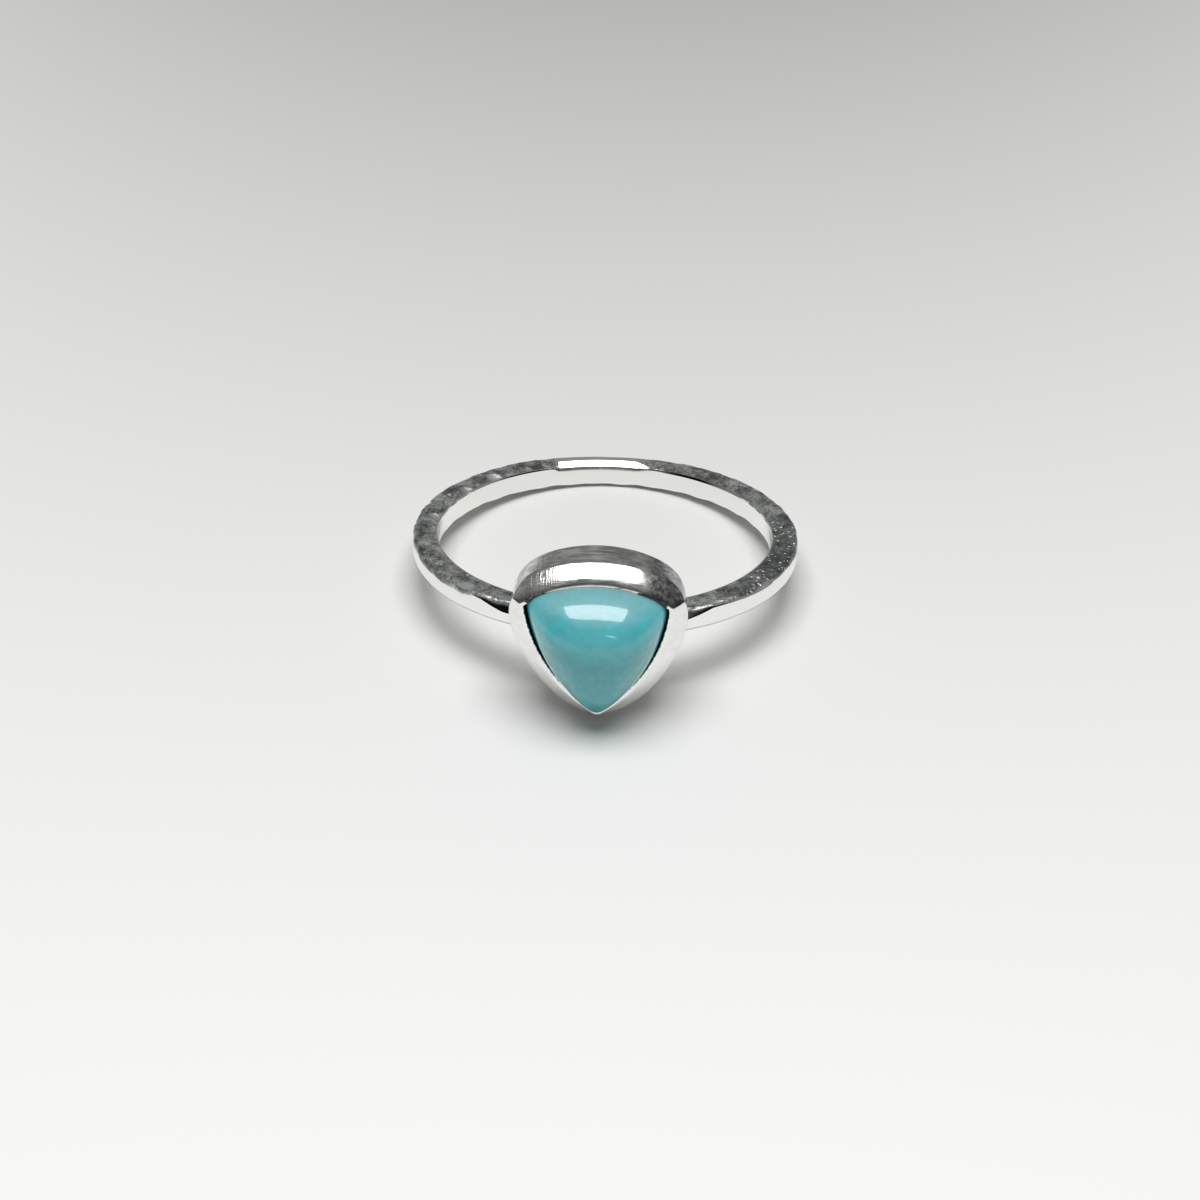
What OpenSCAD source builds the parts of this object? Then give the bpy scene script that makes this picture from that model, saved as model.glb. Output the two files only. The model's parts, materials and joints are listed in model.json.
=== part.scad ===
// Hand-made finger ring: a hammered band with a three-cornered turquoise cabochon
// in a rubbed-over cup. The ring lies on its side, as it rests by itself on a table:
// on the cup's lower corner in front (-Y) and on the lower edge of the band behind.

/* [Finger hole] */
// Inside diameter of the band, a ring of about US size 7
finger_d = 17.3; // [14:0.1:22]

/* [Band] */
// Height of the band, along the finger
band_h = 1.3; // [1.2:0.05:1.6]
// Thickness of the band, from the finger outwards
band_t = 1.3; // [1.2:0.05:1.6]
// Rounding of the band's outer edges
outer_edge_r = 0.5; // [0.2:0.05:0.55]
// Rounding of the band's inner edges
inner_edge_r = 0.3; // [0.1:0.05:0.35]
// Number of hammer blows round the band
hammer_flats = 36; // [24:1:48]
// Depth of the deepest flat that the hammer left
hammer_dent = 0.08; // [0:0.02:0.12]

/* [Cup] */
// Back of the cup, measured from the middle of the finger hole
cup_back = 9.3; // [9:0.1:9.6]
// Height of the cup's straight wall, up to the crease of the rim
wall_h = 1.9; // [1.5:0.1:2.4]
// Width of the rubbed-over rim, from the crease to the lip
rim_w = 0.95; // [0.8:0.05:1.1]
// Slope of the domed rim at the crease
rim_foot_slope = 62; // [50:1:75]
// Slope of the domed rim at the lip
rim_top_slope = 32; // [15:1:45]
// How far each side of the lip lies from the middle of the setting
lip_reach = 2.85; // [2.6:0.05:3]
// Radius of the arc that each side of the lip follows
side_r = 7.1; // [6:0.1:9]
// Radius of the cylinder that rounds the cup's corners
corner_r = 4.45; // [4.3:0.05:4.6]
// How much that cylinder lies above the middle of the setting at the cup's back
corner_lift = 0.15; // [0:0.05:0.3]
// How much it rises towards the lip, which thins the lower corner
corner_rise = 3.75; // [0:0.25:6]
// Height of the setting's middle above the middle of the band
setting_lift = 0.5; // [0.3:0.05:0.7]

/* [Stone] */
// Underside of the stone, measured from the middle of the finger hole
stone_back = 10.1; // [10:0.05:10.3]
// Height of the stone's straight girdle
girdle_h = 0.7; // [0.5:0.05:0.9]
// How far each side of the girdle lies from the stone's middle
girdle_reach = 3.05; // [3:0.05:3.1]
// Radius that rounds the stone's corners
stone_corner_r = 3.85; // [3.6:0.05:3.9]
// Height of the dome above the girdle
dome_h = 3.7; // [3.2:0.1:4]
// Radius of the ball that rounds the top of the dome
dome_r = 4.25; // [4:0.05:6]
// How much higher the sides' own curves would meet than the ball's top
dome_cut = 0.1; // [0.05:0.05:0.3]
// Gap between the stone and the metal all round
stone_gap = 0.07; // [0.05:0.01:0.08]

/* [Hidden] */

finger_r = finger_d / 2;
band_r = finger_r + band_t;
// The rim's section is an arc that turns from one slope to the other.
rim_r = rim_w / (sin(rim_foot_slope) - sin(rim_top_slope));
rim_h = rim_r * (cos(rim_top_slope) - cos(rim_foot_slope));
crease = cup_back + wall_h;
lip = crease + rim_h;
girdle = stone_back + girdle_h;
dome_top = girdle + dome_h;
// Steps along the curves of the rim and of the dome
rim_steps = 5;
dome_steps = 9;
// How far a shape runs past what it cuts
past = 1;
$fn = 72;

// How the ring lies. Seen from the side, it stands on the back corner of the cup and on
// the lower outer edge of the band behind, so it leans back by the slope of their tangent.
foot_below = corner_r / cos(corner_rise) - corner_lift - setting_lift;
heel_in = band_r - outer_edge_r;
heel_below = band_h / 2 - outer_edge_r;
foot_to_heel = norm([cup_back + heel_in, foot_below - heel_below]);
lean = atan2(foot_below - heel_below, cup_back + heel_in) - asin(outer_edge_r / foot_to_heel);
// Height of the middle of the finger hole above the table
middle_h = outer_edge_r + heel_below * cos(lean) + heel_in * sin(lean);
// How far the ball of the dome and the band reach from that middle, forwards and backwards
front_reach = (dome_top - dome_r) * cos(lean) - setting_lift * sin(lean) + dome_r;
back_reach = heel_in * cos(lean) + heel_below * sin(lean) + outer_edge_r;

// The body that the three sides of the setting have in common. Each side is a surface turned
// about an axis of its own, behind the middle, so it bulges. outline is its section, a list
// of [reach, height] points. The setting's own axis is +Z here, and one corner points to -Y.
module three_sides(outline) {
    axis_back = side_r - lip_reach;
    turned = [for (p = outline) [p.x + axis_back, p.y]];
    axis = [[0, outline[len(outline) - 1].y], [0, outline[0].y]];
    intersection_for (side = [90, 210, 330])
        translate(-axis_back * [cos(side), sin(side)])
            rotate_extrude()
                polygon(concat(turned, axis));
}

// The rim, from the crease to the lip
function rim_curve() = [for (i = [0:rim_steps])
    let (slope = rim_foot_slope + (rim_top_slope - rim_foot_slope) * i / rim_steps)
    [lip_reach + rim_r * (sin(slope) - sin(rim_top_slope)),
     crease + rim_r * (cos(slope) - cos(rim_foot_slope))]];

// The outside of the cup: wall and rim, with rounded corners
module cup_body() {
    intersection() {
        three_sides(concat([[lip_reach + rim_w, cup_back]], rim_curve()));
        translate([0, corner_lift, cup_back])
            rotate([-corner_rise, 0, 0])
                translate([0, 0, -past])
                    cylinder(r = corner_r, h = lip - cup_back + 2 * past);
    }
}

// The stone: a flat back, a straight girdle and a dome. With grow above 0 it is the hollow
// that the stone sits in.
module stone_body(grow = 0) {
    reach = girdle_reach + grow;
    dome = [for (i = [0:dome_steps])
        let (t = 90 * i / dome_steps)
        [reach * cos(t), girdle + (dome_h + dome_cut + grow) * sin(t)]];
    intersection() {
        three_sides(concat([[reach, stone_back - grow]], dome));
        translate([0, 0, stone_back - past])
            cylinder(r = stone_corner_r + grow, h = dome_h + girdle_h + 2 * past);
        translate([0, 0, dome_top - dome_r])
            sphere(dome_r + grow);
    }
}

// Section of the band, its inner wall on the Y axis
module band_section() {
    difference() {
        translate([0, -band_h / 2])
            square([band_t, band_h]);
        for (up = [-1, 1]) {
            edge_cut([band_t, up * band_h / 2], outer_edge_r, [-1, -up]);
            edge_cut([0, up * band_h / 2], inner_edge_r, [1, -up]);
        }
    }
}

// What a rounding of radius r takes off the corner at p. inwards says where the metal is.
module edge_cut(p, r, inwards) {
    centre = p + r * inwards;
    difference() {
        translate([min(p.x, centre.x), min(p.y, centre.y)])
            square(r);
        translate(centre)
            circle(r);
    }
}

// The blows fall at uneven angles. They are deep at the sides and in front, and the back of
// the band stays round.
function flat_angle(i) = 360 / hammer_flats * (i + 0.22 * sin(137 * i));
function flat_force(i) = max(0, min(1, 1.25 * (0.8 - sin(flat_angle(i)))));
function flat_reach(i) = band_r + 0.01 - hammer_dent * flat_force(i) * (0.65 + 0.35 * sin(211 * i));

// Where the flats i and i + 1 meet
function flat_corner(i) =
    let (a = flat_angle(i), b = flat_angle(i + 1), p = flat_reach(i), q = flat_reach(i + 1))
    [p * sin(b) - q * sin(a), q * cos(a) - p * cos(b)] / sin(b - a);

module hammered_band() {
    intersection() {
        rotate_extrude()
            translate([finger_r, 0])
                band_section();
        linear_extrude(band_h + 2 * past, center = true)
            polygon([for (i = [0:hammer_flats - 1]) flat_corner(i)]);
    }
}

// From the setting's own axis, +Z, to its place in front of the band
module in_front() {
    translate([0, 0, setting_lift])
        rotate([90, 0, 0])
            children();
}

// From the ring's own axis, +Z, to the ring lying on the table
module lying() {
    translate([0, (front_reach - back_reach) / 2, middle_h])
        rotate([-lean, 0, 0])
            children();
}

module band_and_setting() {
    color("silver")
        lying()
            difference() {
                union() {
                    hammered_band();
                    in_front() cup_body();
                }
                in_front() stone_body(stone_gap);
            }
}

module stone() {
    color("mediumturquoise")
        lying()
            in_front() stone_body();
}

band_and_setting();
stone();
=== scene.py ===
"""A hammered silver finger ring with a three-cornered turquoise, lying on pale paper.

The ring has a frame of its own: X to the right, Y towards the back of the band and Z along the
finger. The setting sits at -Y, and depth there is the distance from the ring's axis. Every piece
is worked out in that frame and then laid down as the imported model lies.
"""

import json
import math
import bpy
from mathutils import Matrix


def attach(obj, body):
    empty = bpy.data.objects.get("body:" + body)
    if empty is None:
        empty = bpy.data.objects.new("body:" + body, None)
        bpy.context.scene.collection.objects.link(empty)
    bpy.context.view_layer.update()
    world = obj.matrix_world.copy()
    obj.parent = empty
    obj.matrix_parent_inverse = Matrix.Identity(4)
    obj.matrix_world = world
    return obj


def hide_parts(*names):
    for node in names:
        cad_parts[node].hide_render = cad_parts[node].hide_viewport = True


bl_info = {
    "name": "Turquoise Ring",
    "version": (1, 0, 0),
    "blender": (4, 5, 0),
    "location": "3D View > Sidebar > Ring",
    "description": "Makes a hammered silver ring with a three-cornered turquoise and its studio",
    "category": "Add Mesh",
}

from functools import partial
from math import radians

import bpy
import numpy as np
from bpy.props import FloatProperty, FloatVectorProperty, IntProperty, PointerProperty
from bpy.types import Operator, Panel, PropertyGroup
from mathutils import Matrix, Vector

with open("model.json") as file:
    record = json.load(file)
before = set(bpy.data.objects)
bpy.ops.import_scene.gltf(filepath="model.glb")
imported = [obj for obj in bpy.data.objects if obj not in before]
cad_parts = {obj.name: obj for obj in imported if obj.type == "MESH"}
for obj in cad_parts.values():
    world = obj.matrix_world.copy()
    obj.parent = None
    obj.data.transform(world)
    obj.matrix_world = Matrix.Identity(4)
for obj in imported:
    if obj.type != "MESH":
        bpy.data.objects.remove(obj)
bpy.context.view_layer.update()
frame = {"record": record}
MM = 0.001
BORE = next(mount for mount in frame["record"]["mounts"] if mount["name"] == "finger_bore")
FINGER_R = BORE["dims"]["r_mm"] * MM


def ring_matrix():
    """The ring's own frame in the room: its Z is the bore's axis, and its X is the room's."""
    along = Vector(BORE["axis"]).normalized()
    across = Vector((1, 0, 0))
    back = along.cross(across)
    turn = Matrix((across, back, along)).transposed().to_4x4()
    return Matrix.Translation(BORE["pos_m"]) @ turn


RING = ring_matrix()


def linear(hex_colour):
    """An sRGB hex colour as linear red, green, blue and alpha."""
    srgb = np.array([int(hex_colour[i:i + 2], 16) for i in (1, 3, 5)]) / 255
    low, high = srgb / 12.92, ((srgb + 0.055) / 1.055) ** 2.4
    return (*np.where(srgb <= 0.04045, low, high), 1.0)


# Sizes and colours

class BandSizes(PropertyGroup):
    height: FloatProperty(
        name="Height", description="Size of the band along the finger",
        default=1.3 * MM, unit="LENGTH", precision=5)
    thickness: FloatProperty(
        name="Thickness", description="Size of the band from the finger outwards",
        default=1.33 * MM, unit="LENGTH", precision=5)
    lower_edge: FloatProperty(
        name="Lower edge radius", description="Rounding of the band's lower outer edge",
        default=0.45 * MM, unit="LENGTH", precision=5)
    inner_edge: FloatProperty(
        name="Inner edge radius", description="Rounding of the band's inner edges",
        default=0.08 * MM, unit="LENGTH", precision=5)
    file_width: FloatProperty(
        name="Filed width", description="Width of the flat filed on the inner edge at the back",
        default=0.38 * MM, unit="LENGTH", precision=5)
    file_slope: FloatProperty(
        name="Filed slope", description="Slope of that flat",
        default=radians(37), subtype="ANGLE")
    file_reach: FloatProperty(
        name="Filed reach", description="Angle round the band from the flat's middle to its ends",
        default=radians(17), subtype="ANGLE")
    blows: IntProperty(
        name="Hammer blows", description="Number of hammer blows in one row round the band",
        default=84, min=12, max=160)
    blow_radius: FloatProperty(
        name="Blow radius", description="Radius of a hammer mark",
        default=0.46 * MM, unit="LENGTH", precision=5)
    blow_depth: FloatProperty(
        name="Blow depth", description="Depth of the deepest hammer mark",
        default=0.05 * MM, unit="LENGTH", precision=6)


class SettingSizes(PropertyGroup):
    lift: FloatProperty(
        name="Lift", description="Height of the setting's middle above the band's",
        default=0.53 * MM, unit="LENGTH", precision=5)
    back: FloatProperty(
        name="Back", description="Depth of the cup's flat back",
        default=9.3 * MM, unit="LENGTH", precision=5)
    crease: FloatProperty(
        name="Crease", description="Depth at which the wall turns into the rim",
        default=11.23 * MM, unit="LENGTH", precision=5)
    lip: FloatProperty(
        name="Lip", description="Depth of the narrow flat along the rim's inner edge",
        default=12.17 * MM, unit="LENGTH", precision=5)
    foot_slope: FloatProperty(
        name="Slope at the crease", description="Slope of the domed rim where it starts",
        default=radians(58), subtype="ANGLE")
    top_slope: FloatProperty(
        name="Slope at the lip", description="Slope of the domed rim where it ends",
        default=radians(33), subtype="ANGLE")
    lip_width: FloatProperty(
        name="Lip width", description="Width of the flat along the rim's inner edge",
        default=0.16 * MM, unit="LENGTH", precision=6)
    side_angles: FloatVectorProperty(
        name="Side directions", description="Directions of the top, left and right",
        default=tuple(np.radians((88.0, 212.6, 330.7))), unit="ROTATION")
    side_reaches: FloatVectorProperty(
        name="Side reaches", description="Distance of each side of the lip from the middle",
        default=(2.69 * MM, 2.89 * MM, 2.86 * MM), unit="LENGTH", precision=5)
    side_radii: FloatVectorProperty(
        name="Side radii", description="Radius of the arc that each side of the lip follows",
        default=(6.4 * MM, 8.1 * MM, 7.4 * MM), unit="LENGTH", precision=5)
    rim_widths: FloatVectorProperty(
        name="Rim widths", description="Width of the rim on each side",
        default=(1.03 * MM, 1.0 * MM, 1.12 * MM), unit="LENGTH", precision=5)
    corner_radius: FloatProperty(
        name="Corner radius", description="Radius of the cylinder that rounds the corners",
        default=4.48 * MM, unit="LENGTH", precision=5)
    corner_lift: FloatProperty(
        name="Corner lift", description="Height of that cylinder above the setting's middle",
        default=0.15 * MM, unit="LENGTH", precision=5)
    corner_rise: FloatProperty(
        name="Corner rise", description="How much the cylinder rises from the back to the lip",
        default=radians(3.75), subtype="ANGLE")


class StoneSizes(PropertyGroup):
    back: FloatProperty(
        name="Back", description="Depth of the stone's flat back",
        default=10.1 * MM, unit="LENGTH", precision=5)
    girdle: FloatProperty(
        name="Girdle", description="Depth at which the dome starts",
        default=10.8 * MM, unit="LENGTH", precision=5)
    top: FloatProperty(
        name="Top", description="Depth of the top of the dome",
        default=14.45 * MM, unit="LENGTH", precision=5)
    side_angles: FloatVectorProperty(
        name="Side directions", description="Directions of the top, left and right",
        default=tuple(np.radians((87.5, 208.0, 334.5))), unit="ROTATION")
    side_reaches: FloatVectorProperty(
        name="Side reaches", description="Distance of each side of the girdle from the middle",
        default=(2.88 * MM, 3.02 * MM, 3.0 * MM), unit="LENGTH", precision=5)
    side_radii: FloatVectorProperty(
        name="Side radii", description="Radius of the arc that each side of the girdle follows",
        default=(7.6 * MM, 8.1 * MM, 7.4 * MM), unit="LENGTH", precision=5)
    tip_reach: FloatProperty(
        name="Tip reach", description="Distance of the girdle's lower tip from the middle",
        default=4.1 * MM, unit="LENGTH", precision=5)
    ball_radius: FloatProperty(
        name="Ball radius", description="Radius of the ball that rounds the top of the dome",
        default=4.25 * MM, unit="LENGTH", precision=5)


class StudioSettings(PropertyGroup):
    view_distance: FloatProperty(
        name="View distance", description="Distance of the camera from the middle of the ring",
        default=163 * MM, unit="LENGTH", precision=4)
    view_elevation: FloatProperty(
        name="View elevation", description="Angle of the camera above the plane of the band",
        default=radians(25.25), subtype="ANGLE")
    view_azimuth: FloatProperty(
        name="View azimuth", description="Angle of the camera round to the right of the stone",
        default=radians(1.1), subtype="ANGLE")
    view_roll: FloatProperty(
        name="View roll", description="Turn of the camera about its line of sight",
        default=radians(1.14), subtype="ANGLE")
    light_height: FloatProperty(
        name="Light height", description="Height of the soft box above the ring",
        default=250 * MM, unit="LENGTH", precision=3)
    light_power: FloatProperty(
        name="Light power", description="Power of the soft box",
        default=0.63, unit="POWER")


class RingColours(PropertyGroup):
    band: FloatVectorProperty(
        name="Band", description="Clean silver of the band",
        default=linear("#f8f8f5"), size=4, subtype="COLOR")
    oxide: FloatVectorProperty(
        name="Oxide", description="Oxide on the band's hammered top",
        default=linear("#707472"), size=4, subtype="COLOR")
    setting: FloatVectorProperty(
        name="Setting", description="Clean silver of the cup and its rim",
        default=linear("#f7f7f4"), size=4, subtype="COLOR")
    # Painted shade: the lower corner's turquoise is darker, as the light falls
    stone_foot_painted_shade: FloatVectorProperty(
        name="Stone foot", description="Turquoise at the stone's lower corner",
        default=linear("#24a4ab"), size=4, subtype="COLOR")
    stone_heart: FloatVectorProperty(
        name="Stone heart", description="Turquoise at the stone's middle",
        default=linear("#48bec5"), size=4, subtype="COLOR")
    # Painted shade and sheen: the upper side's turquoise is greyer and whiter, as the light falls
    stone_head_painted_shade_and_sheen: FloatVectorProperty(
        name="Stone head", description="Turquoise along the stone's upper side",
        default=linear("#6aafb6"), size=4, subtype="COLOR")
    paper: FloatVectorProperty(
        name="Paper", description="Paper in front of the ring",
        default=linear("#f3f3f2"), size=4, subtype="COLOR")


# Shared tools

def add_node(tree, kind, inputs=None, **settings):
    """Adds a shader node with its settings, inputs and links.

    inputs maps socket names or numbers to a value, a socket, or a node, which stands for its
    first output in use. A Mix node's factor, A and B are numbers 0, 6 and 7 for colours and 0, 2
    and 3 for plain values.
    """
    node = tree.nodes.new("ShaderNode" + kind)
    for name, value in settings.items():
        setattr(node, name, value)
    for key, value in (inputs or {}).items():
        if isinstance(value, bpy.types.Node):
            value = next(output for output in value.outputs if output.enabled)
        if isinstance(value, bpy.types.NodeSocket):
            tree.links.new(value, node.inputs[key])
        else:
            node.inputs[key].default_value = value
    return node


def node_adder(owner):
    """add_node for the node tree of a material or world, which is emptied first."""
    owner.use_nodes = True
    owner.node_tree.nodes.clear()
    return partial(add_node, owner.node_tree)


def new_material(name):
    """A material, what adds its nodes, and the place on the piece, for its patterns to read."""
    material = bpy.data.materials.new(name)
    add = node_adder(material)
    return material, add, add("TexCoord").outputs["Object"]


def laid_down(points):
    """Points in the ring's own frame, moved to where the ring lies."""
    matrix = np.array(RING)
    return points @ matrix[:3, :3].T + matrix[:3, 3]


def shell_points(rows):
    """The values of a shell's points in one list. The first and last row are one point each."""
    return np.concatenate([rows[:1, 0], rows[1:-1].reshape(-1, *rows.shape[2:]), rows[-1:, 0]])


def surface_mesh(name, grid, poles=False, shades=None):
    """A closed mesh from a grid of points, rows by columns by three.

    Columns always close on themselves. With poles, the first and last row are each one point,
    the ends of a shell. Without, the rows close on themselves too, as on a hoop. shades maps
    names to a value for each point, which materials read.
    """
    shades = shades or {}
    rows, columns = grid.shape[:2]
    ring = np.arange(columns)
    after = (ring + 1) % columns
    if poles:
        points = shell_points(grid)
        shades = {shade: shell_points(values) for shade, values in shades.items()}
        start = 1 + np.arange(rows - 3)[:, None] * columns
        following = start + columns
        last, end = len(points) - 1, 1 + (rows - 3) * columns
        fans = [np.stack([np.zeros_like(ring), 1 + after, 1 + ring], -1),
                np.stack([np.full_like(ring, last), end + ring, end + after], -1)]
        fans = np.concatenate(fans).tolist()
    else:
        points = grid.reshape(-1, 3)
        start = np.arange(rows)[:, None] * columns
        following = np.roll(start, -1, 0)
        fans = []
    quads = np.stack([start + ring, start + after, following + after, following + ring], -1)
    mesh = bpy.data.meshes.new(name)
    mesh.from_pydata(laid_down(points), [], quads.reshape(-1, 4).tolist() + fans)
    for shade, values in shades.items():
        attribute = mesh.attributes.new(shade, "FLOAT", "POINT")
        attribute.data.foreach_set("value", values.ravel())
    mesh.shade_smooth()
    mesh.update()
    return mesh


def add_piece(name, mesh, material, node):
    """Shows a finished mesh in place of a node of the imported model."""
    mesh.materials.append(material)
    piece = bpy.data.objects.new(name, mesh)
    bpy.context.collection.objects.link(piece)
    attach(piece, "root")
    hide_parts(node)


def soft_min(values, width):
    """Smallest of several arrays, with the step from one to the next rounded over width."""
    values = np.stack(values)
    least = values.min(0)
    return least - width * np.log(np.exp((least - values) / width).sum(0))


def smooth_step(value):
    """0 below 0 and 1 above 1, with a smooth step in between."""
    value = np.clip(value, 0, 1)
    return value * value * (3 - 2 * value)


def bump_at(value, width):
    """1 where a value is 0, falling off to both sides over width as a bell curve does."""
    return np.exp(-(value / width) ** 2)


def uneven(count, seed):
    """Numbers from -1 to 1 in no order: the sine of widely spaced angles."""
    return np.sin(np.arange(1, count + 1) * (12.9898 + seed) + 78.233 * seed)


def from_table(table, degrees):
    """Values at some angles, read in straight lines between a table's rows of angle and value."""
    return np.interp(degrees, *zip(*table))


# Band

# Marks of the hard blows on the band's top: the angle round the ring in degrees, then in
# millimetres how far out the middle is, half the length, half the width across, and the depth
DENTS = (
    (0.5, 0.35, 0.20, 0.16, 0.07), (133.0, 0.27, 0.50, 0.36, 0.09),
    (147.0, 0.24, 0.44, 0.36, 0.10), (155.0, 0.60, 0.20, 0.18, 0.08),
    (162.5, 1.42, 0.34, 0.40, 0.20), (170.0, 1.45, 0.20, 0.30, 0.12),
    (171.0, 0.38, 0.34, 0.28, 0.11), (176.0, 1.25, 0.30, 0.26, 0.13),
    (176.8, 1.42, 0.26, 0.36, 0.20), (180.5, 1.30, 0.22, 0.24, 0.10),
    (181.0, 0.20, 0.26, 0.22, 0.07), (220.5, 0.20, 0.22, 0.16, 0.07),
    (226.0, 1.00, 0.60, 0.44, 0.06), (236.5, 1.15, 0.13, 0.13, 0.07),
    (238.5, 1.15, 0.13, 0.13, 0.07), (306.0, 1.20, 0.36, 0.20, 0.06),
    (309.7, 0.65, 0.22, 0.14, 0.06), (320.7, 1.20, 0.30, 0.18, 0.08),
    (322.5, 1.05, 0.16, 0.14, 0.06), (326.5, 0.80, 0.22, 0.16, 0.07),
    (328.6, 0.92, 0.14, 0.14, 0.06), (331.4, 1.09, 0.22, 0.18, 0.08),
    (334.0, 0.95, 0.16, 0.15, 0.06), (339.3, 0.97, 0.20, 0.16, 0.07),
    (345.0, 0.87, 0.20, 0.18, 0.08), (353.2, 0.62, 0.18, 0.16, 0.07),
)
# How round the upper outer edge is, from 0 to 1, by degrees from the front to either side
ROUNDNESS = ((32, 0.02), (44, 0.1), (56, 0.5), (68, 0.42), (82, 0.13), (154, 0.27), (166, 0.54),
             (180, 0.68))
# Size of the facet that leans back along that edge, by degrees to the right of the front, in mm
FACETS = ((-46, 0.01), (-41, 0.1), (-37, 0.22), (-33, 0.4), (-29, 0.55), (26, 0.52), (30, 0.38),
          (34, 0.2), (39, 0.2), (46, 0.3), (58, 0.3), (66, 0.01))
# How far down the outer wall the hammer's work reaches, by degrees to the right, in mm
HAMMERED = ((-180, 1.2), (-90, 0.9), (-75, 0.3), (-60, 0.42), (-44, 0.4), (-39, 0.24), (24, 0.14),
            (37, 0.17), (45, 0.22), (60, 0.2), (75, 0.3), (90, 0.9), (180, 1.2))


def band_section(sizes, upper_edge, cut, drop):
    """Outline of the band's section: a box with one corner cut off, whose corners are arcs.

    The first coordinate runs outwards from the finger's side and the second along the finger,
    and the points run anticlockwise. The corner of the inner wall and the top is taken off, cut
    wide and drop deep. The upper outer edge has a radius of its own. Every outline has the same
    number of points.
    """
    half = sizes.height / 2
    corners = np.array([
        (sizes.thickness, -half), (sizes.thickness, half), (cut, half),
        (0, half - drop), (0, -half)])
    radii = (sizes.lower_edge, upper_edge, 0.02 * MM, 0.01 * MM + 0.8 * cut, sizes.inner_edge)
    arc_points = (8, 20, 5, 9, 6)
    line_points = (9, 20, 7, 11, 10)
    sides = np.roll(corners, -1, 0) - corners
    heading = np.arctan2(sides[:, 1], sides[:, 0])
    arcs = []
    for i, radius in enumerate(radii):
        turn = (heading[i] - heading[i - 1]) % (2 * math.pi)
        ahead = np.array([math.cos(heading[i - 1]), math.sin(heading[i - 1])])
        left = np.array([-ahead[1], ahead[0]])
        centre = corners[i] + radius * (left - ahead * math.tan(turn / 2))
        facing = heading[i - 1] - math.pi / 2 + turn * np.linspace(0, 1, arc_points[i])
        arcs.append(centre + radius * np.stack([np.cos(facing), np.sin(facing)], -1))
    outline = []
    for i, arc in enumerate(arcs):
        share = np.linspace(0, 1, line_points[i] + 2)[1:-1, None]
        following = arcs[(i + 1) % len(arcs)][0]
        outline += [arc, arc[-1] + share * (following - arc[-1])]
    return np.concatenate(outline)


def rightwards(angle):
    """Angle round the band from the middle of its front, more than 0 on the right."""
    return (angle + 1.5 * math.pi) % (2 * math.pi) - math.pi


def hammer_marks(sizes, angle, across):
    """Depth of the hammer marks at an angle round the band and a distance across its top.

    A mark is a shallow bowl: its depth times one less the square of the distance from its
    middle, as a share of its size. Where bowls meet, the deeper one counts. The second result
    is how far the hard blows rubbed the oxide off, from 0 to 1, the long ones the most.
    """
    middle_r = FINGER_R + sizes.thickness / 2
    depth = np.zeros(np.broadcast(angle, across).shape)
    rubbed = np.zeros_like(depth)

    def off_middle(place, middle, length, width):
        """Square of the distance from a mark's middle, in its own sizes."""
        round_way = (angle - place + math.pi) % (2 * math.pi) - math.pi
        return (round_way * middle_r / length) ** 2 + ((across - middle) / width) ** 2

    # Five rows, 0.4 mm apart, each half a blow further round
    for row in range(5):
        slant, shift, force = (uneven(sizes.blows, row + k) for k in (1, 11, 21))
        for k in range(sizes.blows):
            place = (k + 0.4 * slant[k] + 0.5 * row) * 2 * math.pi / sizes.blows
            middle = (0.15 + 0.4 * row + 0.12 * shift[k]) * MM
            deepest = sizes.blow_depth * (0.6 + 0.4 * force[k])
            square = off_middle(place, middle, sizes.blow_radius, sizes.blow_radius)
            depth = np.maximum(depth, deepest * (1 - square))
    for degrees, *lengths in DENTS:
        middle, length, width, deepest = (size * MM for size in lengths)
        square = off_middle(radians(degrees), middle, length, width)
        depth = np.maximum(depth, deepest * (1 - square))
        rubbed = np.maximum(rubbed, smooth_step(1.2 - square) * min(length / (0.5 * MM), 1))
    return depth, rubbed


def filed_share(sizes, angle):
    """How far the section is the filed one, from 0 to 1.

    The flat tapers out slowly to the right, and reaches further and ends sooner to the left.
    """
    right = rightwards(angle)
    reach = sizes.file_reach + np.where(right > 0, 0, radians(4))
    taper = np.where(right > 0, radians(9), radians(3.5))
    return smooth_step((reach - math.pi + np.abs(right)) / taper)


def ledge_share(angle):
    """How far the section is the one with a ledge, from 0 to 1: at the back, on the right."""
    start, end = radians(30), radians(78)
    rise, fall = 0.35, 0.2
    return smooth_step((angle - start) / rise) * smooth_step((end - angle) / fall)


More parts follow.
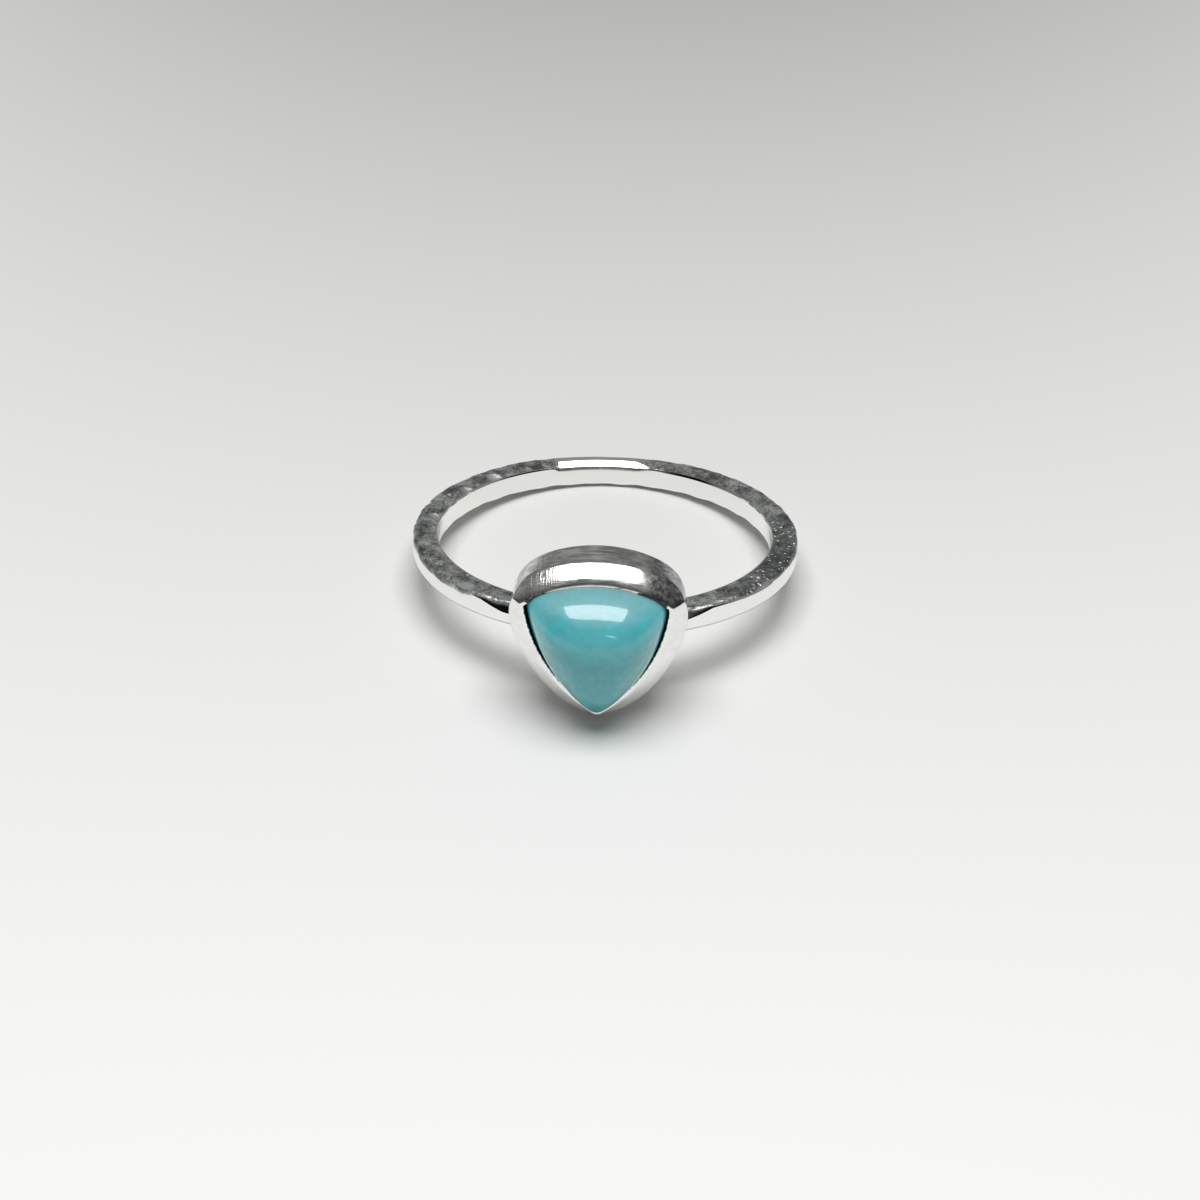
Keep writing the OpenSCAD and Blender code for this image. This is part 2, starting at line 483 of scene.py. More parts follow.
def band_sections(sizes, angle):
    """Sections of the band at angles round it, as angles by points by two.

    They are blended from a sharp one, one with a rounded upper edge, one with a steep ledge
    inside and one with the filed flat. Beside the setting, a facet leans back along the upper
    outer edge. Along the back the band is thinner, and its top falls off to the inner wall.
    """
    right = np.degrees(rightwards(angle))
    sharp_edge, round_edge = 0.1 * MM, 0.8 * MM
    sharp = band_section(sizes, sharp_edge, 0.03 * MM, 0.07 * MM)
    rounded = band_section(sizes, round_edge, 0.03 * MM, 0.07 * MM)
    ledged = band_section(sizes, sharp_edge, 0.05 * MM, 0.12 * MM)
    filed = band_section(
        sizes, sharp_edge, sizes.file_width, sizes.file_width * math.tan(sizes.file_slope))
    roundness = from_table(ROUNDNESS, np.abs(right))[..., None]
    filing = filed_share(sizes, angle)[..., None]
    ledge = ledge_share(angle)[..., None] * (1 - filing)
    section = (sharp + roundness * (rounded - sharp) + filing * (filed - sharp)
               + ledge * (ledged - sharp))
    thicker_right, thinner_back, lean = 0.028, 0.04, 0.43
    section[..., 0] *= (
        1 + thicker_right * np.cos(angle) - thinner_back * np.maximum(np.sin(angle), 0))
    facet = from_table(FACETS, right)[..., None] * MM
    high = np.clip(1 - (sizes.height / 2 - section[..., 1:]) / facet, 0, 1)
    share = section[..., :1] / sizes.thickness
    section[..., :1] -= lean * facet * high * share * np.abs(share)
    deepest_fall, fall_width = 0.16 * MM, 0.7 * MM
    behind = smooth_step((np.abs(right) - 65) / 40) * (1 - filing[..., 0])
    inside = np.clip(1 - section[..., 0] / fall_width, 0, 1) ** 1.5
    above = smooth_step(section[..., 1] / (0.3 * MM))
    section[..., 1] -= deepest_fall * behind * inside * above
    return section


def hammered_share(sizes, angle, section):
    """How far each point of the sections shows the hammer's work, from 0 to 1.

    The finger's side and the filed flat are smooth. The outer wall is burnished up to a line
    that climbs towards the setting and wavers a little.
    """
    out, along = section[..., 0], section[..., 1]
    half = sizes.height / 2
    line = half - from_table(HAMMERED, np.degrees(rightwards(angle))) * MM
    line = line + 0.025 * MM * (np.sin(19 * angle) + np.sin(31 * angle + 1))
    on_top = smooth_step((out - 0.03 * MM) / (0.1 * MM))
    inner_side = smooth_step((1.25 * MM - out - half + along) / (0.2 * MM))
    smooth = filed_share(sizes, angle) * inner_side
    return on_top * smooth_step((along - line) / (0.12 * MM)) * (1 - smooth)


def band_grid(sizes):
    """Points of the band, and shades from 0 to 1 for each of them.

    The sections are carried round the finger, and the marks are sunk along their normals. The
    shades are the hammer's work, which also holds painted shade in the rounding under the filed
    flat, the shine of the hard blows and a painted shade along the ledge.
    """
    angle = np.linspace(0, 2 * math.pi, 900, endpoint=False)[:, None]
    half = sizes.height / 2
    section = band_sections(sizes, angle)
    run = np.roll(section, -1, 1) - np.roll(section, 1, 1)
    run = run / np.linalg.norm(run, axis=-1, keepdims=True)
    normal = np.stack([run[..., 1], -run[..., 0]], -1)
    out, along = section[..., 0], section[..., 1]
    wrought = hammered_share(sizes, angle, section)
    depth, rubbed = hammer_marks(sizes, angle, out + half - along)
    # The finger's side has an uneven lower edge
    sway = 0.016 * MM * (2 + np.sin(37 * angle) + np.sin(23 * angle + 1.3))
    sway = sway * smooth_step((0.3 * MM - along - half) / (0.3 * MM))
    sway = sway * smooth_step((0.6 * MM - out) / (0.4 * MM))
    section = section - (wrought * depth)[..., None] * normal
    section[..., 1] += sway
    radius = FINGER_R + section[..., 0]
    grid = np.stack([radius * np.cos(angle), radius * np.sin(angle), section[..., 1]], -1)
    # Painted shade: the oxide's grey is laid in the rounding under the filed flat, standing in for
    # the dim reflection there
    under = half - sizes.file_width * math.tan(sizes.file_slope) - 0.02 * MM
    painted_shade_under_flat = bump_at(along - under, 0.1 * MM) * (out < 0.5 * sizes.thickness)
    painted_shade_under_flat = 0.6 * painted_shade_under_flat * filed_share(sizes, angle)
    # Painted shade: a black line along the ledge by the inner edge, standing in for its shadow
    painted_ledge_shade = bump_at(out - 0.01 * MM, 0.04 * MM) * ledge_share(angle)
    painted_ledge_shade = painted_ledge_shade * smooth_step((along - 0.4 * MM) / (0.1 * MM))
    # It is worn off the outer wall, where the marks themselves stay
    worn = 1 - 0.65 * smooth_step((half - 0.2 * MM - along) / (0.3 * MM))
    shades = {"wrought": np.maximum(wrought * worn, painted_shade_under_flat), "rubbed": rubbed, "ledge": painted_ledge_shade}
    return grid, shades


# Setting

# How dirty the lip is, from 0 to 1, by degrees round the setting: most at the upper corners
LIP_DIRT = ((27, 0), (31, 1), (47, 1), (54, 0.36), (88, 0.33), (96, 0), (132, 0), (141, 1),
            (150, 1), (154, 0))


def side_centres(sizes):
    """Middles of the discs whose edges are the three sides of the lip or of the girdle."""
    back = np.array(sizes.side_radii) - np.array(sizes.side_reaches)
    return np.stack([-back * np.cos(sizes.side_angles), -back * np.sin(sizes.side_angles)], -1)


def centre_distances(sizes, radius, angle):
    """Distances of points on the face from the middles of the three discs."""
    point = np.stack([radius * np.cos(angle), radius * np.sin(angle)], -1)
    return [np.linalg.norm(point - centre, axis=-1) for centre in side_centres(sizes)]


def edge_of(centre, radius, angle):
    """Distance from the middle to the edge of a disc, looking along angle."""
    along = centre[0] * np.cos(angle) + centre[1] * np.sin(angle)
    return along + np.sqrt(np.maximum(radius ** 2 - centre @ centre + along ** 2, 1e-12))


def opening_outline(sizes, angle):
    """Distance of the lip from the middle: the nearest of the three sides, slightly ragged."""
    sides = [edge_of(c, r, angle) for c, r in zip(side_centres(sizes), sizes.side_radii)]
    burrs = 0.008 * MM * (np.sin(41 * angle) + np.sin(67 * angle + 2) + np.sin(97 * angle))
    return soft_min(sides, 0.03 * MM) + burrs


def cup_outline(sizes, angle, depth):
    """Distance of the cup's wall from the middle: the nearest side, or the corner cylinder."""
    outer = np.array(sizes.side_radii) + np.array(sizes.rim_widths)
    walls = [edge_of(c, r, angle) + 0 * depth for c, r in zip(side_centres(sizes), outer)]
    lift = sizes.corner_lift + (depth - sizes.back) * math.tan(sizes.corner_rise)
    across = lift * np.cos(angle)
    corner = lift * np.sin(angle) + np.sqrt(sizes.corner_radius ** 2 - across ** 2)
    behind = np.clip((sizes.lip - depth) / (sizes.lip - sizes.back), 0, 1)
    return soft_min(walls + [corner], (0.1 + 0.2 * behind) * MM)


def rim_depth(sizes, radius, angle):
    """Depth of the rim's surface over a point of the setting's face.

    How far in the point lies from each side of the crease, as a share of the rim's width, is
    turned into a height by an arc that starts steep and ends less steep. The lowest side counts.
    The arc ends at the flat along the inner edge.
    """
    distances = centre_distances(sizes, radius, angle)
    foot, top = sizes.foot_slope, sizes.top_slope
    heights = []
    for distance, side_r, width in zip(distances, sizes.side_radii, sizes.rim_widths):
        inset = np.clip((side_r + width - distance) / (width - sizes.lip_width), 0, 1)
        slope = np.arcsin(math.sin(foot) - inset * (math.sin(foot) - math.sin(top)))
        heights.append((np.cos(slope) - math.cos(foot)) / (math.cos(top) - math.cos(foot)))
    return sizes.crease + (sizes.lip - sizes.crease) * soft_min(heights, 0.02)


def softened(grid, passes):
    """Rounds a shell's edges: points move half way to the mean of the rows before and after."""
    for _ in range(passes):
        grid[1:-1] = (grid[:-2] + 2 * grid[1:-1] + grid[2:]) / 4
    return grid


def setting_grid(sizes, stone):
    """Points of the cup, from the middle of its back round the rim to the middle of its seat.

    Two shades go with them, from 0 to 1: how far a point faces up, and how dirty it is.
    """
    play = 0.06 * MM
    near_lip = sizes.lip - 0.3 * MM
    angle = np.linspace(0, 2 * math.pi, 720, endpoint=False)[None]
    outward = np.linspace(0, 1, 14)[:, None]
    up = np.linspace(0, 1, 44)[1:, None]
    back_r = cup_outline(sizes, angle, sizes.back)
    lip_r = opening_outline(sizes, angle)
    crease_r = cup_outline(sizes, angle, near_lip)
    crease_depth = rim_depth(sizes, crease_r, angle)
    wall_depth = sizes.back + (crease_depth - sizes.back) * up
    rim_r = crease_r + (lip_r - crease_r) * np.linspace(0, 1, 40)[1:, None]
    lip_depth = rim_depth(sizes, lip_r, angle)
    hollow_r = girdle_outline(stone, angle) + play
    inner = np.linspace(0, 1, 30)[1:, None]
    inner_r = lip_r + (np.maximum(hollow_r, lip_r) - lip_r) * np.clip(inner * 1.4, 0, 1)
    inner_depth = lip_depth + (stone.back - play - lip_depth) * inner
    seat = np.linspace(1, 0, 8)[1:, None]
    radius = np.concatenate([
        back_r * outward, cup_outline(sizes, angle, wall_depth), rim_r, inner_r,
        inner_r[-1:] * seat])
    depth = np.concatenate([
        sizes.back + 0 * back_r * outward, wall_depth, rim_depth(sizes, rim_r, angle),
        inner_depth, inner_depth[-1:] + 0 * seat])
    grid = softened(placed(sizes, radius, angle, depth), 3)
    beside_lip = smooth_step((lip_r + 0.26 * MM - radius) / (0.08 * MM)) * (depth > near_lip)
    dirt = beside_lip * from_table(LIP_DIRT, np.degrees(angle))
    return grid, {"upper": facing_up(grid), "dirt": dirt}


def facing_up(grid):
    """How far each point of a shell faces along the finger, from its neighbours, 0 to 1."""
    round_way = np.roll(grid, -1, 1) - np.roll(grid, 1, 1)
    normal = np.cross(round_way, np.gradient(grid, axis=0))
    up = normal[..., 2] / np.maximum(np.linalg.norm(normal, axis=-1), 1e-20)
    return smooth_step(up / 0.35)


def placed(sizes, radius, angle, depth):
    """Points from the setting's own polar measures, in the ring's frame."""
    return np.stack([radius * np.cos(angle), -depth + 0 * angle,
                     sizes.lift + radius * np.sin(angle)], -1)


# Stone

def stone_level(stone, radius, angle):
    """How far out a point of the stone's face is: 0 at the middle, 1 on the girdle.

    For each side it is the share of the way from the middle to that side, and the three are
    put together by the root of the sum of their powers: the higher the power, the sharper the
    corners. The lower corner is the sharpest, and all fade towards the middle of the face.
    """
    distances = centre_distances(stone, radius, angle)
    shares = [np.maximum(1 - (side_r - distance) / reach, 0)
              for distance, side_r, reach in zip(distances, stone.side_radii, stone.side_reaches)]
    power = 20 - 17 * np.sin(angle)
    sharp = sum(share ** power for share in shares) ** (1 / power)
    soft = sum(share ** 4 for share in shares) ** 0.25
    return sharp + (soft - sharp) * smooth_step((1 - sharp) / 0.35)


def girdle_outline(stone, angle):
    """Distance of the girdle from the middle, where the level is 1, found by halving.

    The lower tip is ground back, so that it stays inside the cup's wall.
    """
    low, high = np.zeros_like(angle), np.full_like(angle, 6 * MM)
    for _ in range(30):
        middle = (low + high) / 2
        inside = stone_level(stone, middle, angle) < 1
        low, high = np.where(inside, middle, low), np.where(inside, high, middle)
    return np.minimum(low, stone.tip_reach)


def dome_depth(stone, radius, angle):
    """Depth of the dome: a full-shouldered ellipse from the girdle up, cut by a ball.

    The ellipse is fullest towards the top side and the lower corner, and the ball is drawn out
    to that corner.
    """
    level = np.clip(stone_level(stone, radius, angle), 0, 1)
    rise = stone.top + 0.08 * MM - stone.girdle
    sine = np.sin(angle)
    fullness = 2.06 + 0.2 * np.maximum(-sine, 0) ** 12 + 0.22 * smooth_step(sine / 0.6)
    ellipse = stone.girdle + rise * (1 - level ** fullness) ** (1 / fullness)
    across, up = radius * np.cos(angle), radius * sine
    up = (up - 0.1 * MM) * (1 - 0.1 * smooth_step(-up / (4 * MM)))
    ball = stone.top - stone.ball_radius + np.sqrt(
        np.maximum(stone.ball_radius ** 2 - across ** 2 - up ** 2, 0))
    return soft_min([ellipse, ball], 0.05 * MM)


def stone_grid(stone, setting):
    """Points of the stone, from the middle of its back over the girdle to the top of its dome."""
    angle = np.linspace(0, 2 * math.pi, 480, endpoint=False)[None]
    girdle_r = girdle_outline(stone, angle)
    outward = np.sin(np.linspace(0, math.pi / 2, 90))[:, None]
    radius = girdle_r * outward
    depth = dome_depth(stone, radius, angle)
    down = np.linspace(0, 1, 12)[1:, None]
    inward = np.linspace(1, 0, 8)[1:, None]
    wall_depth = depth[-1:] + (stone.back - depth[-1:]) * down
    radius = np.concatenate([radius, girdle_r + 0 * down, girdle_r * inward])
    depth = np.concatenate([depth, wall_depth, stone.back + 0 * girdle_r * inward])
    return placed(setting, radius, angle, depth)[::-1]


# Materials

def hammered_silver(colours):
    """Sterling silver, hammered. The struck top keeps a grey oxide; the walls are burnished."""
    material, add, where = new_material("hammered sterling silver")
    x, y, _ = add("SeparateXYZ", {"Vector": where}).outputs
    struck, rubbed, ledge = (
        add("Attribute", attribute_name=shade).outputs["Fac"]
        for shade in ("wrought", "rubbed", "ledge"))
    # Oxide lies in cloudy patches of about a millimetre, peppered with dark pits
    patches = add("TexNoise", {"Vector": where, "Scale": 1100, "Detail": 8, "Roughness": 0.7})
    cloud = add("MapRange", {"Value": patches, "From Min": 0.41, "From Max": 0.61})
    oxide = add("Mix", {0: cloud, 6: colours.oxide, 7: linear("#eaedeb")}, data_type="RGBA")
    pits = add("TexNoise", {"Vector": where, "Scale": 9000, "Detail": 2, "Roughness": 0.6})
    pitted = add("MapRange", {"Value": pits, "From Min": 0.48, "From Max": 0.3})
    dark = add("Mix", {0: pitted, 6: oxide, 7: linear("#4c504e")}, data_type="RGBA")
    # Hard blows rubbed it off again
    bare = add("MapRange", {"Value": rubbed, "To Max": 0.75})
    blotchy = add("Mix", {0: bare, 6: dark, 7: linear("#f2f5f6")}, data_type="RGBA")
    # It is thicker at the right end
    side = add("MapRange", {"Value": x, "From Min": 6.5 * MM, "From Max": 8 * MM})
    ahead = add("MapRange", {"Value": y, "From Min": 5.5 * MM, "From Max": 3.5 * MM})
    end = add("Math", {0: side, 1: ahead}, operation="MULTIPLY")
    half_end = add("Math", {0: end, 1: 0.5}, operation="MULTIPLY")
    thick = add("Mix", {0: half_end, 6: blotchy, 7: linear("#565c5b")}, data_type="RGBA")
    # The struck shade also holds the painted shade in the rounding under the filed flat
    top = add("Mix", {0: struck, 6: colours.band, 7: thick}, data_type="RGBA")
    # Painted shade: it is black along the ledge by the inner edge, standing in for the ledge's
    # shadow
    colour = add("Mix", {0: ledge, 6: top, 7: linear("#2a2b29")}, data_type="RGBA")
    # The hammer's face left raised dots, 0.3 mm apart, at the right end and finer grain all over
    cells = add("TexVoronoi", {"Vector": where, "Scale": 3000})
    dots = add("MapRange", {
        "Value": cells, "From Min": 0.1, "From Max": 0.5, "To Min": 3.6, "To Max": 0},
        interpolation_type="SMOOTHSTEP")
    raised = add("Math", {0: dots, 1: end}, operation="MULTIPLY")
    grain = add("TexNoise", {"Vector": where, "Scale": 8000, "Detail": 4, "Roughness": 0.7})
    relief = add("Math", {0: grain, 1: raised}, operation="ADD")
    height = add("Math", {0: relief, 1: struck}, operation="MULTIPLY")
    bump = add("Bump", {"Height": height, "Distance": 0.02 * MM})
    # Most of it is matt, and small raised spots are worn bright, but not at the right end
    spots = add("MapRange", {"Value": end, "To Min": 0.26, "To Max": 0.5})
    worn = add("MapRange", {
        "Value": grain, "From Min": 0.58, "From Max": 0.68, "To Min": 0.4, "To Max": spots})
    rough = add("Mix", {0: struck, 2: 0.07, 3: worn})
    shader = add("BsdfPrincipled", {
        "Base Color": colour, "Metallic": 1.0, "Roughness": rough, "Normal": bump})
    add("OutputMaterial", {"Surface": shader})
    return material


def burnished_silver(colours):
    """Sterling silver, rubbed over the stone. The tool leaves streaks, and tarnish stays."""
    material, add, where = new_material("burnished sterling silver")
    x = add("SeparateXYZ", {"Vector": where}).outputs["X"]
    upper, dirt = (
        add("Attribute", attribute_name=shade).outputs["Fac"]
        for shade in ("upper", "dirt"))
    # Streaks along the wall, 0.15 mm wide, and across the rim
    long_way = add("Mapping", {"Vector": where, "Scale": (0.12, 1, 1)})
    streaks = add("TexNoise", {"Vector": long_way, "Scale": 5000, "Detail": 3, "Roughness": 0.6})
    patches = add("TexNoise", {"Vector": where, "Scale": 1500, "Detail": 5, "Roughness": 0.6})
    both = add("Math", {0: streaks, 1: patches}, operation="ADD")
    # Only the surfaces that faced the polishing wheel least, along the finger, keep tarnish
    kept = add("MapRange", {"Value": both, "From Min": 0.85, "From Max": 1.2})
    share = add("MapRange", {"Value": upper, "To Min": 0.15})
    tarnish = add("Math", {0: kept, 1: share}, operation="MULTIPLY")
    colour = add("Mix", {0: tarnish, 6: colours.setting, 7: linear("#b4b5b1")}, data_type="RGBA")
    # A file went across the rim's left end, 0.1 mm to a scratch
    short_way = add("Mapping", {"Vector": where, "Scale": (1, 0.06, 0.06)})
    scratches = add("TexNoise", {"Vector": short_way, "Scale": 9000, "Detail": 2, "Roughness": 0.6})
    left = add("MapRange", {
        "Value": x, "From Min": -1.6 * MM, "From Max": -2.4 * MM, "To Max": 3},
        interpolation_type="SMOOTHSTEP")
    filed = add("Math", {0: scratches, 1: left, 2: both}, operation="MULTIPLY_ADD")
    # Its right end kept small dents, 0.25 mm wide, and a darker oxide
    pocks = add("TexNoise", {"Vector": where, "Scale": 4000, "Detail": 3, "Roughness": 0.6})
    blots = add("MapRange", {"Value": pocks, "From Min": 0.4, "From Max": 0.6, "To Min": 0.45})
    right = add("MapRange", {"Value": x, "From Min": 2.1 * MM, "From Max": 2.7 * MM},
                interpolation_type="SMOOTHSTEP")
    dented = add("Math", {0: blots, 1: right}, operation="MULTIPLY")
    relief = add("Math", {0: dented, 1: filed}, operation="ADD")
    oxide = add("Math", {0: dented, 1: upper}, operation="MULTIPLY")
    metal = add("Mix", {0: oxide, 6: colour, 7: linear("#6c7076")}, data_type="RGBA")
    # Black dirt sits along the lip, in broken lines where there is less of it
    deposit = add("Math", {0: streaks, 1: dirt}, operation="ADD")
    caked = add("MapRange", {"Value": deposit, "From Min": 0.88, "From Max": 1.0})
    grimy = add("Mix", {0: caked, 6: metal, 7: linear("#3c4041")}, data_type="RGBA")
    height = add("Math", {0: relief, 1: upper}, operation="MULTIPLY")
    bump = add("Bump", {"Height": height, "Distance": 0.005 * MM})
    rough = add("MapRange", {
        "Value": patches, "From Min": 0.3, "From Max": 0.7, "To Min": 0.08, "To Max": 0.24})
    shader = add("BsdfPrincipled", {
        "Base Color": grimy, "Metallic": 1.0, "Roughness": rough, "Normal": bump})
    add("OutputMaterial", {"Surface": shader})
    return material


def turquoise(colours):
    """Turquoise, cut as a cabochon and polished: an opaque waxy body under a sharp gloss."""
    material, add, where = new_material("polished turquoise")
    z = add("SeparateXYZ", {"Vector": where}).outputs["Z"]
    # Painted shade and sheen: clouds of about a millimetre drift over a heart that is paler than
    # both ends, with a darker lower corner and a greyer, whiter upper side, as the light falls on
    # the dome
    clouds = add("TexNoise", {"Vector": where, "Scale": 800, "Detail": 5, "Roughness": 0.6})
    drift = add("Math", {0: clouds, 1: 2.0 * MM, 2: z}, operation="MULTIPLY_ADD")
    rising = add("MapRange", {"Value": drift, "From Min": 5.8 * MM, "From Max": 7.0 * MM})
    falling = add("MapRange", {"Value": drift, "From Min": 7.3 * MM, "From Max": 8.1 * MM})
    lower = add("Mix", {0: rising, 6: colours.stone_foot_painted_shade, 7: colours.stone_heart},
                data_type="RGBA")
    colour = add("Mix", {0: falling, 6: lower, 7: colours.stone_head_painted_shade_and_sheen}, data_type="RGBA")
    # Pale blots of about 0.4 mm mottle it
    grains = add("TexNoise", {"Vector": where, "Scale": 2500, "Detail": 4, "Roughness": 0.6})
    pale = add("MapRange", {"Value": grains, "From Min": 0.45, "From Max": 0.7, "To Max": 0.22})
    mottled = add("Mix", {0: pale, 6: colour, 7: linear("#9cc4cf")}, data_type="RGBA")
    # A painted highlight: one pale streak 0.6 mm long near the middle of the face, standing in for
    # a small reflection
    along_painted_glint = add("Mapping", {
        "Vector": where, "Location": (0.67 * MM, 0, 6.27 * MM),
        "Rotation": (0, radians(13.5), 0), "Scale": (0.32 * MM, 1, 0.05 * MM)},
        vector_type="TEXTURE")
    off_painted_glint = add("VectorMath", {0: along_painted_glint}, operation="LENGTH")
    painted_glint = add("MapRange", {"Value": off_painted_glint, "From Min": 1.0, "From Max": 0.3})
    with_painted_glint = add("Mix", {0: painted_glint, 6: mottled, 7: linear("#a8f0ee")}, data_type="RGBA")
    shader = add("BsdfPrincipled", {
        "Base Color": with_painted_glint, "Roughness": 0.48, "IOR": 1.61,
        "Coat Weight": 1.0, "Coat Roughness": 0.07, "Coat IOR": 1.55,
        "Subsurface Weight": 1.0, "Subsurface Scale": 1.6 * MM,
        "Subsurface Radius": (0.6, 1.0, 1.0)})
    add("OutputMaterial", {"Surface": shader})
    return material


def pale_paper(colours):
    """Matt white backdrop paper with painted shade, light grey at the back to white in front."""
    material, add, where = new_material("backdrop paper with painted shade")
    x, y, _ = add("SeparateXYZ", {"Vector": where}).outputs
    # Painted shade: the paper is painted darker towards the back, as the light falls off there
    behind = add("MapRange", {"Value": y, "From Min": -45 * MM, "From Max": 80 * MM})
    # The painted shade thins out towards both sides
    sideways = add("Math", {0: x, 1: 1 / (74 * MM)}, operation="MULTIPLY")
    square = add("Math", {0: sideways, 1: 2.0}, operation="POWER")
    middle = add("Math", {0: 1.0, 1: square}, operation="SUBTRACT", use_clamp=True)
    shade = add("Math", {0: behind, 1: middle}, operation="MULTIPLY")
    colour = add("Mix", {0: shade, 6: colours.paper, 7: linear("#bcbcbb")}, data_type="RGBA")
    shader = add("BsdfDiffuse", {"Color": colour})
    add("OutputMaterial", {"Surface": shader})
    return material


# Studio

def add_floor(colours):
    """A wide sheet of paper that the ring lies on."""
    half = 2.0
    mesh = bpy.data.meshes.new("paper")
    corners = [(-half, -half, 0), (half, -half, 0), (half, half, 0), (-half, half, 0)]
    mesh.from_pydata(corners, [], [(0, 1, 2, 3)])
    mesh.materials.append(pale_paper(colours))
    floor = bpy.data.objects.new("paper", mesh)
    bpy.context.collection.objects.link(floor)


def add_soft_box(studio):
    """A soft box above the ring, seen from it 22.5 degrees to each side, 11 back, 21 forward."""
    back, front = (studio.light_height * math.tan(radians(a)) for a in (11, -21))
    light = bpy.data.lights.new("soft box", "AREA")
    light.shape = "RECTANGLE"
    light.size = 2 * studio.light_height * math.tan(radians(22.5))
    light.size_y = back - front
    light.energy = studio.light_power
    lamp = bpy.data.objects.new("soft box", light)
    lamp.location = (0, (back + front) / 2, studio.light_height)
    bpy.context.collection.objects.link(lamp)


def add_room():
    """A dim room round the studio, darker in front, with a black flag low down on each side."""
    world = bpy.data.worlds.new("dim room")
    add = node_adder(world)
    where = add("TexCoord").outputs["Generated"]
    x, y, z = add("SeparateXYZ", {"Vector": where}).outputs
    sideways = add("Math", {0: x}, operation="ABSOLUTE")
    spans = ((y, -0.7, -0.2), (y, -0.78, -0.93), (sideways, 0.55, 0.75), (z, 0.65, 0.5),
             (y, -0.12, -0.32))
    behind, beyond, beside, low, ahead = (
        add("MapRange", {"Value": value, "From Min": start, "From Max": end},
            interpolation_type="SMOOTHSTEP")
        for value, start, end in spans)
    dim = add("Mix", {0: behind, 6: linear("#5b5c5d"), 7: linear("#838382")}, data_type="RGBA")
    # Below the camera, the table runs on to a pale far end
    room = add("Mix", {0: beyond, 6: dim, 7: linear("#a8a8a7")}, data_type="RGBA")
    # The flags stand in front of the ring to its left and right, up to 35 degrees high
    flat = add("Math", {0: beside, 1: low}, operation="MULTIPLY")
    flag = add("Math", {0: flat, 1: ahead}, operation="MULTIPLY")
    grey = add("Mix", {0: flag, 6: room, 7: linear("#0c0c0c")}, data_type="RGBA")
    # Dim shapes of about a quarter of the room keep it from being even
    shapes = add("TexNoise", {"Vector": where, "Scale": 4})
    strength = add("MapRange", {
        "Value": shapes, "From Min": 0.3, "From Max": 0.7, "To Min": 0.6, "To Max": 1.4})
    shader = add("Background", {"Color": grey, "Strength": strength})
    add("OutputWorld", {"Surface": shader})
    bpy.context.scene.world = world


def add_camera(studio):
    """A camera that sees the ring as the photograph does.

    It looks at the middle of the ring from view_azimuth and view_elevation in the ring's own
    frame, and is then turned so that the middle falls beside the middle of the picture. The
    picture's size, that place and the focal length are in pixels of the photograph.
    """
    picture = 1200
    middle_x, middle_y = 604.6, 541.7
    focal = 3138
    azimuth, elevation = studio.view_azimuth, studio.view_elevation
    back = Vector((math.sin(azimuth) * math.cos(elevation),
                   -math.cos(azimuth) * math.cos(elevation), math.sin(elevation)))
    level = Vector((math.cos(azimuth), math.sin(azimuth), 0))
    up = back.cross(level)
    roll = studio.view_roll
    right = math.cos(roll) * level + math.sin(roll) * up
    up = back.cross(right)
    aside, above = (picture / 2 - middle_x) / focal, (picture / 2 - middle_y) / focal
    ahead = -back + right * aside - up * above
    ahead.normalize()
    right = ahead.cross(up).normalized()
    turn = Matrix((right, right.cross(ahead), -ahead)).transposed().to_4x4()
    data = bpy.data.cameras.new("camera")
    data.sensor_width = 36
    data.lens = focal / picture * data.sensor_width
    data.clip_start = 5 * MM
    data.clip_end = 10
    camera = bpy.data.objects.new("camera", data)
    camera.matrix_world = RING @ Matrix.Translation(back * studio.view_distance) @ turn
    bpy.context.collection.objects.link(camera)
    bpy.context.scene.camera = camera


# Operators

class RING_OT_band(Operator):
    """Make the hammered band"""
    bl_idname = "ring.band"
    bl_label = "Make Band"

    def execute(self, context):
        grid, shades = band_grid(context.scene.ring_band)
        mesh = surface_mesh("band", grid, shades=shades)
        metal = hammered_silver(context.scene.ring_colours)
        add_piece("band", mesh, metal, "band_and_setting")
        return {"FINISHED"}


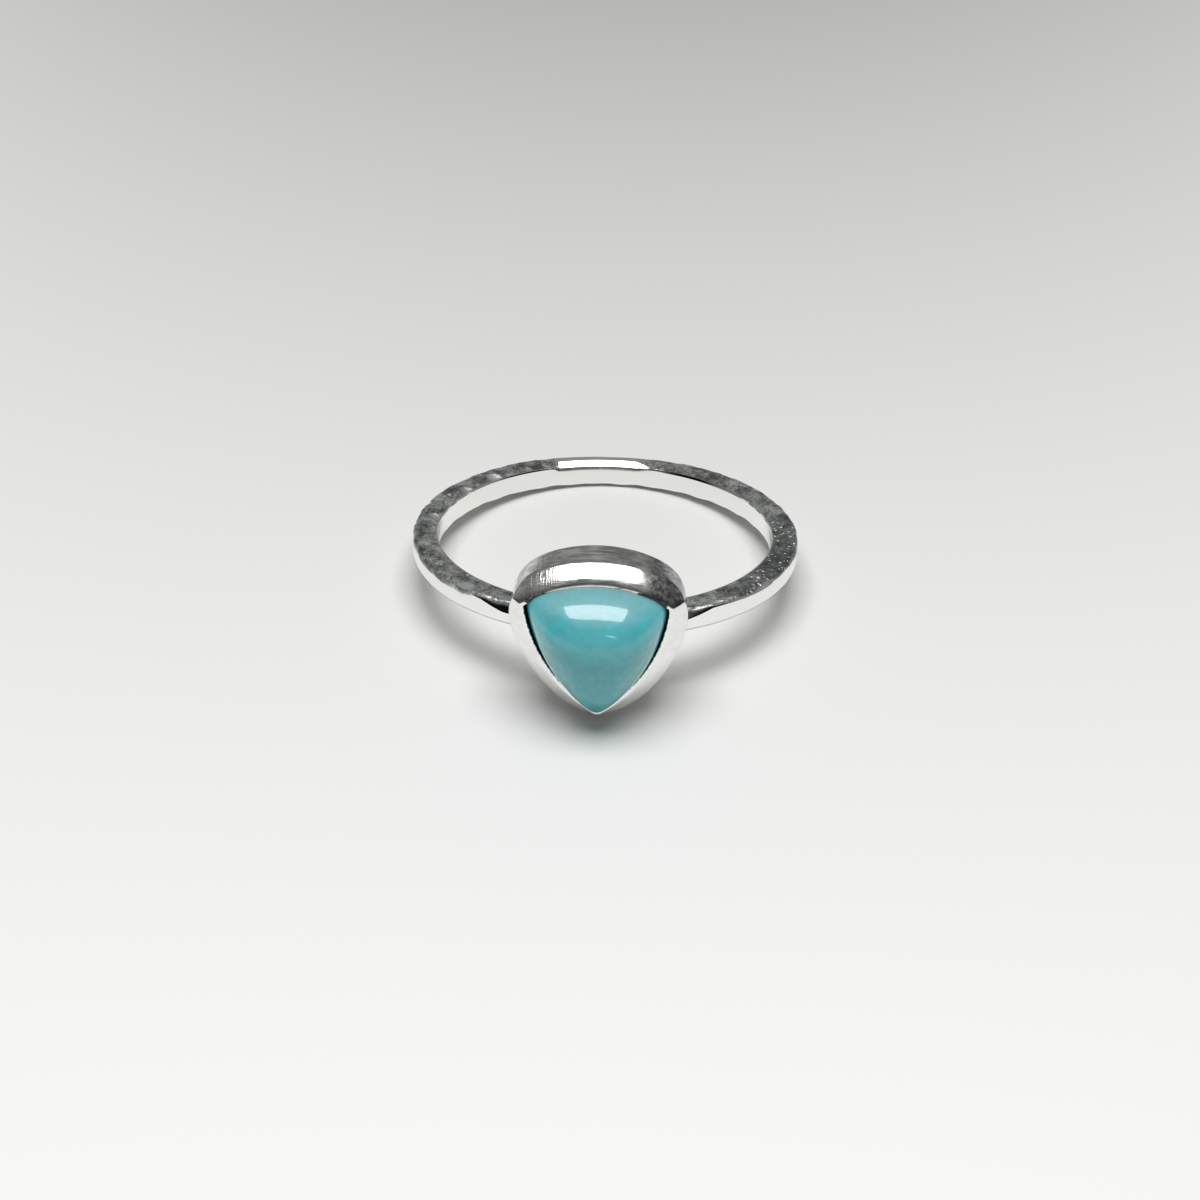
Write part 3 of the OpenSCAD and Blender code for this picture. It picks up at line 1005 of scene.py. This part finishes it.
class RING_OT_setting(Operator):
    """Make the cup and its rubbed-over rim"""
    bl_idname = "ring.setting"
    bl_label = "Make Setting"

    def execute(self, context):
        grid, shades = setting_grid(context.scene.ring_setting, context.scene.ring_stone)
        mesh = surface_mesh("setting", grid, poles=True, shades=shades)
        metal = burnished_silver(context.scene.ring_colours)
        add_piece("setting", mesh, metal, "band_and_setting")
        return {"FINISHED"}


class RING_OT_stone(Operator):
    """Make the turquoise cabochon"""
    bl_idname = "ring.stone"
    bl_label = "Make Stone"

    def execute(self, context):
        grid = stone_grid(context.scene.ring_stone, context.scene.ring_setting)
        mesh = surface_mesh("cabochon", grid, poles=True)
        add_piece("cabochon", mesh, turquoise(context.scene.ring_colours), "stone")
        return {"FINISHED"}


class RING_OT_studio(Operator):
    """Make the paper, the light, the room and the camera"""
    bl_idname = "ring.studio"
    bl_label = "Make Studio"

    def execute(self, context):
        studio = context.scene.ring_studio
        add_floor(context.scene.ring_colours)
        add_soft_box(studio)
        add_room()
        add_camera(studio)
        context.scene.view_settings.view_transform = "Standard"
        return {"FINISHED"}


class RING_PT_panel(Panel):
    """Lists the operators that make the ring"""
    bl_idname = "RING_PT_panel"
    bl_label = "Turquoise Ring"
    bl_space_type = "VIEW_3D"
    bl_region_type = "UI"
    bl_category = "Ring"

    def draw(self, context):
        for operator in OPERATORS:
            self.layout.operator(operator.bl_idname)


GROUPS = {
    "ring_band": BandSizes,
    "ring_setting": SettingSizes,
    "ring_stone": StoneSizes,
    "ring_studio": StudioSettings,
    "ring_colours": RingColours,
}
OPERATORS = (RING_OT_studio, RING_OT_band, RING_OT_setting, RING_OT_stone)
CLASSES = (*GROUPS.values(), *OPERATORS, RING_PT_panel)


def register():
    for cls in CLASSES:
        bpy.utils.register_class(cls)
    for name, group in GROUPS.items():
        setattr(bpy.types.Scene, name, PointerProperty(type=group))


def unregister():
    for name in GROUPS:
        delattr(bpy.types.Scene, name)
    for cls in reversed(CLASSES):
        bpy.utils.unregister_class(cls)


def main():
    register()
    bpy.ops.ring.studio()
    bpy.ops.ring.band()
    bpy.ops.ring.setting()
    bpy.ops.ring.stone()


if __name__ == "__main__":
    main()
